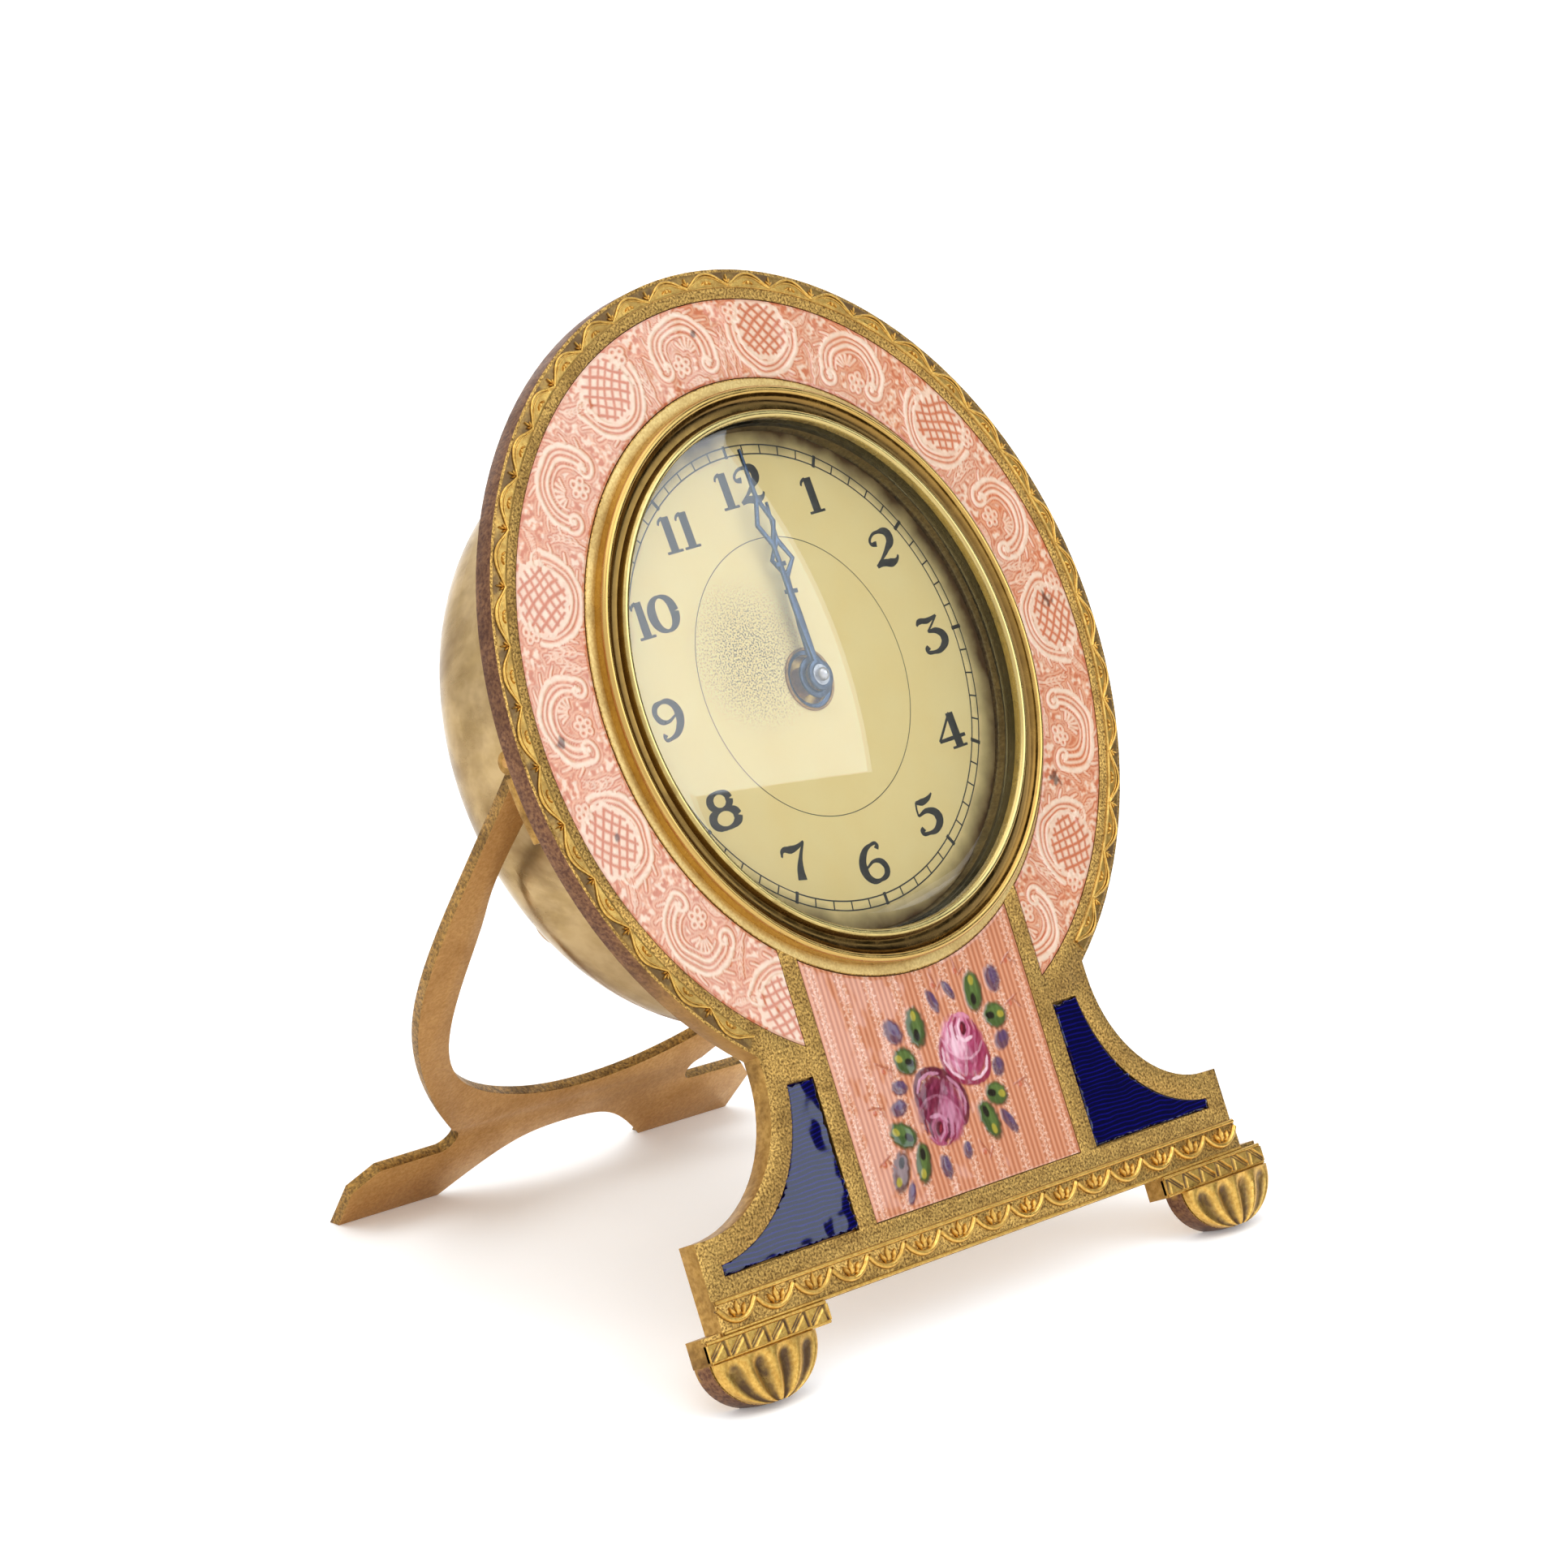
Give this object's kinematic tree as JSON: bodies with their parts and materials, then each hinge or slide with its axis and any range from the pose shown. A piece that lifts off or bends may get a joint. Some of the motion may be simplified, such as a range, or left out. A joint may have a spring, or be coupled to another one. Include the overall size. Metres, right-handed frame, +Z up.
{
  "type": "pendulette clock",
  "caption": "Small enamelled gilt-brass easel clock: round plate on a flared pedestal, domed glass over a gilt dial, spring movement in a drum, and a folding wishbone strut.",
  "frame": {"origin": "on the floor under the middle of the clock's bounding box", "axes": "+Z up, +X to the right as one faces the dial, the dial faces -Y and leans back"},
  "size_m": [0.0754, 0.0623, 0.0884],
  "materials": {
    "gilt_brass": "gilt, matte granular",
    "strut_brass": "satin gilt",
    "drum_brass": "aged lacquered",
    "knob_brass": "worn polish",
    "movement_brass": "grained",
    "steel": "bright",
    "blued_steel": "blued",
    "pink_enamel": "gloss",
    "rose_panel_enamel": "gloss",
    "cobalt_enamel": "gloss",
    "crystal_glass": "polished",
    "gilt_dial": "matte aged"
  },
  "bodies": {
    "case": {"front_plate": "gilt_brass", "enamel_ring": "pink_enamel", "enamel_panel": "rose_panel_enamel", "enamel_cobalt_left": "cobalt_enamel", "enamel_cobalt_right": "cobalt_enamel", "bezel": "gilt_brass", "crystal": "crystal_glass", "dial_ring": "gilt_brass", "dial": "gilt_dial", "dial_eyelet": "gilt_brass", "drum_case": "drum_brass", "movement_ring": "movement_brass", "front_movement_plate": "movement_brass", "back_movement_plate": "movement_brass", "pillars": "movement_brass", "pillar_screws": "steel", "case_screws": "steel", "hinge_leaf_left": "strut_brass", "hinge_leaf_right": "strut_brass", "hinge_pins": "strut_brass", "leaf_rivets": "strut_brass", "motion_studs": "steel", "hairspring": "steel", "hairspring_stud": "steel", "click_spring": "steel", "click_screw": "steel"},
    "strut": {"strut": "strut_brass"},
    "setting": {"setting_knob": "knob_brass", "setting_arbor": "steel"},
    "setting_intermediate": {"setting_intermediate_wheel": "movement_brass"},
    "minute_work": {"minute_wheel": "movement_brass"},
    "minute": {"cannon_pinion": "steel", "minute_hand": "blued_steel"},
    "hour": {"hour_wheel": "movement_brass", "hour_hand": "blued_steel"},
    "winding": {"winding_key": "knob_brass", "barrel_arbor": "steel", "ratchet_wheel": "steel"},
    "click": {"click": "steel"},
    "regulator": {"regulator": "movement_brass"},
    "balance": {"balance_wheel": "movement_brass", "balance_staff": "steel"},
    "lever": {"pallet_lever": "steel"},
    "escape": {"escape_wheel": "movement_brass"},
    "fourth": {"fourth_wheel": "movement_brass"},
    "third": {"third_wheel": "movement_brass"},
    "centre": {"centre_wheel": "movement_brass"},
    "barrel": {"barrel": "movement_brass", "barrel_cover": "movement_brass", "mainspring": "steel"}
  },
  "joints": [
    {"name": "strut_fold", "type": "hinge", "parent": "case", "child": "strut", "pos_m": [0, -0.00458, 0.05125], "axis": [-1, 0, 0], "range_deg": [0, 57]},
    {"name": "hand_setting", "type": "hinge", "parent": "case", "child": "setting", "pos_m": [-0.01326, -0.0126, 0.04185], "axis": [0, -0.9135, 0.4067], "continuous": true},
    {"name": "setting_intermediate_turn", "type": "hinge", "parent": "case", "child": "setting_intermediate", "pos_m": [-0.00955, -0.01109, 0.04524], "axis": [0, -0.9135, 0.4067], "continuous": true},
    {"name": "minute_work_turn", "type": "hinge", "parent": "case", "child": "minute_work", "pos_m": [-0.00424, -0.00894, 0.05008], "axis": [0, -0.9135, 0.4067], "continuous": true},
    {"name": "minute_turn", "type": "hinge", "parent": "case", "child": "minute", "pos_m": [0, -0.00721, 0.05396], "axis": [0, -0.9135, 0.4067], "continuous": true},
    {"name": "hour_turn", "type": "hinge", "parent": "case", "child": "hour", "pos_m": [0, -0.00721, 0.05396], "axis": [0, -0.9135, 0.4067], "continuous": true},
    {"name": "winding_turn", "type": "hinge", "parent": "case", "child": "winding", "pos_m": [0.01009, -0.00484, 0.05928], "axis": [0, -0.9135, 0.4067], "continuous": true},
    {"name": "click_lift", "type": "hinge", "parent": "case", "child": "click", "pos_m": [0.00579, -0.00181, 0.06608], "axis": [0, -0.9135, 0.4067], "range_deg": [0, 6]},
    {"name": "regulator_turn", "type": "hinge", "parent": "case", "child": "regulator", "pos_m": [-0.00341, -0.01171, 0.04386], "axis": [0, -0.9135, 0.4067], "range_deg": [-12, 12]},
    {"name": "balance_swing", "type": "hinge", "parent": "case", "child": "balance", "pos_m": [-0.00341, -0.01171, 0.04386], "axis": [0, -0.9135, 0.4067], "range_deg": [-22, 22], "stiffness_Nm_per_rad": 0.00001},
    {"name": "lever_rock", "type": "hinge", "parent": "case", "child": "lever", "pos_m": [-0.0121, -0.01076, 0.04599], "axis": [0, -0.9135, 0.4067], "range_deg": [-6.05, 6.05]},
    {"name": "escape_turn", "type": "hinge", "parent": "case", "child": "escape", "pos_m": [-0.01445, -0.0091, 0.04971], "axis": [0, -0.9135, 0.4067], "range_deg": [-5.5, 5.5]},
    {"name": "fourth_turn", "type": "hinge", "parent": "case", "child": "fourth", "pos_m": [-0.01231, -0.00671, 0.05509], "axis": [0, -0.9135, 0.4067], "range_deg": [-0.55, 0.55]},
    {"name": "third_turn", "type": "hinge", "parent": "case", "child": "third", "pos_m": [-0.00608, -0.00578, 0.05716], "axis": [0, -0.9135, 0.4067], "range_deg": [-0.073333, 0.073333]},
    {"name": "centre_turn", "type": "hinge", "parent": "case", "child": "centre", "pos_m": [0, -0.00721, 0.05396], "axis": [0, -0.9135, 0.4067], "range_deg": [-0.009167, 0.009167]},
    {"name": "barrel_turn", "type": "hinge", "parent": "case", "child": "barrel", "pos_m": [0.01009, -0.00484, 0.05928], "axis": [0, -0.9135, 0.4067], "range_deg": [-0.001528, 0.001528]}
  ],
  "couplings": [
    {"joint": "setting_intermediate_turn", "follows": "hand_setting", "ratio": -0.75},
    {"joint": "minute_work_turn", "follows": "hand_setting", "ratio": 0.5},
    {"joint": "minute_turn", "follows": "hand_setting", "ratio": -1.5},
    {"joint": "hour_turn", "follows": "hand_setting", "ratio": -0.125},
    {"joint": "lever_rock", "follows": "balance_swing", "ratio": -0.25},
    {"joint": "escape_turn", "follows": "balance_swing", "ratio": -0.22727},
    {"joint": "fourth_turn", "follows": "balance_swing", "ratio": 0.022727},
    {"joint": "third_turn", "follows": "balance_swing", "ratio": -0.0030303},
    {"joint": "centre_turn", "follows": "balance_swing", "ratio": 0.00037879},
    {"joint": "barrel_turn", "follows": "balance_swing", "ratio": -0.000063131}
  ]
}
